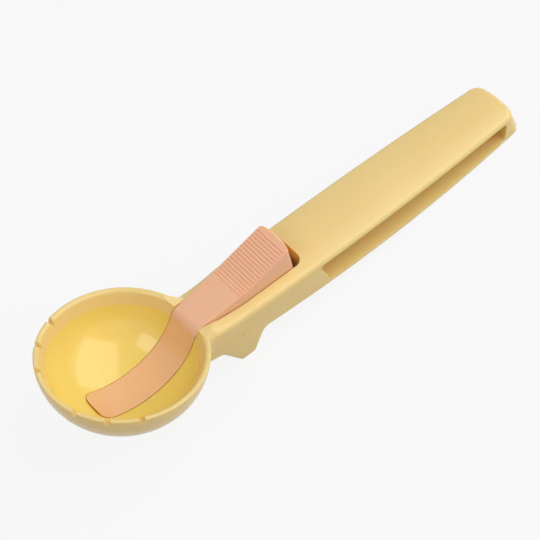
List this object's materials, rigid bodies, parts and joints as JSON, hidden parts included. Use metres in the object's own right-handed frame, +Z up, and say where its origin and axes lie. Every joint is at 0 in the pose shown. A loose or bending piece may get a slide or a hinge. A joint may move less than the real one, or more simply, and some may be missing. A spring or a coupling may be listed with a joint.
{
  "type": "lever ice cream scoop",
  "caption": "Ice cream scoop with a round notched bowl, a foot under the neck, a grooved handle and a sprung thumb lever whose tail lifts the ball out of the bowl.",
  "frame": {"origin": "middle of the flat under the foot, on the table", "axes": "+X from the bowl towards the handle's end along the table, +Z up from the table, +Y across the handle"},
  "size_m": [0.1867, 0.056, 0.0395],
  "materials": {
    "body_plastic": "satin moulded plastic, pale amber",
    "lever_plastic": "satin moulded plastic, light apricot",
    "steel": "bright drawn wire and rod"
  },
  "bodies": {
    "scoop": {"scoop_body": "body_plastic", "pivot_pin": "steel", "return_spring": "steel"},
    "lever": {"ejector_lever": "lever_plastic"}
  },
  "joints": [
    {"name": "lever_pivot", "type": "hinge", "parent": "scoop", "child": "lever", "pos_m": [0.0012, 0, 0.01222], "axis": [0, 1, 0], "range_deg": [0, 13], "stiffness_Nm_per_rad": 0.35, "springref_deg": -20.05, "deforming": ["return_spring"]}
  ]
}
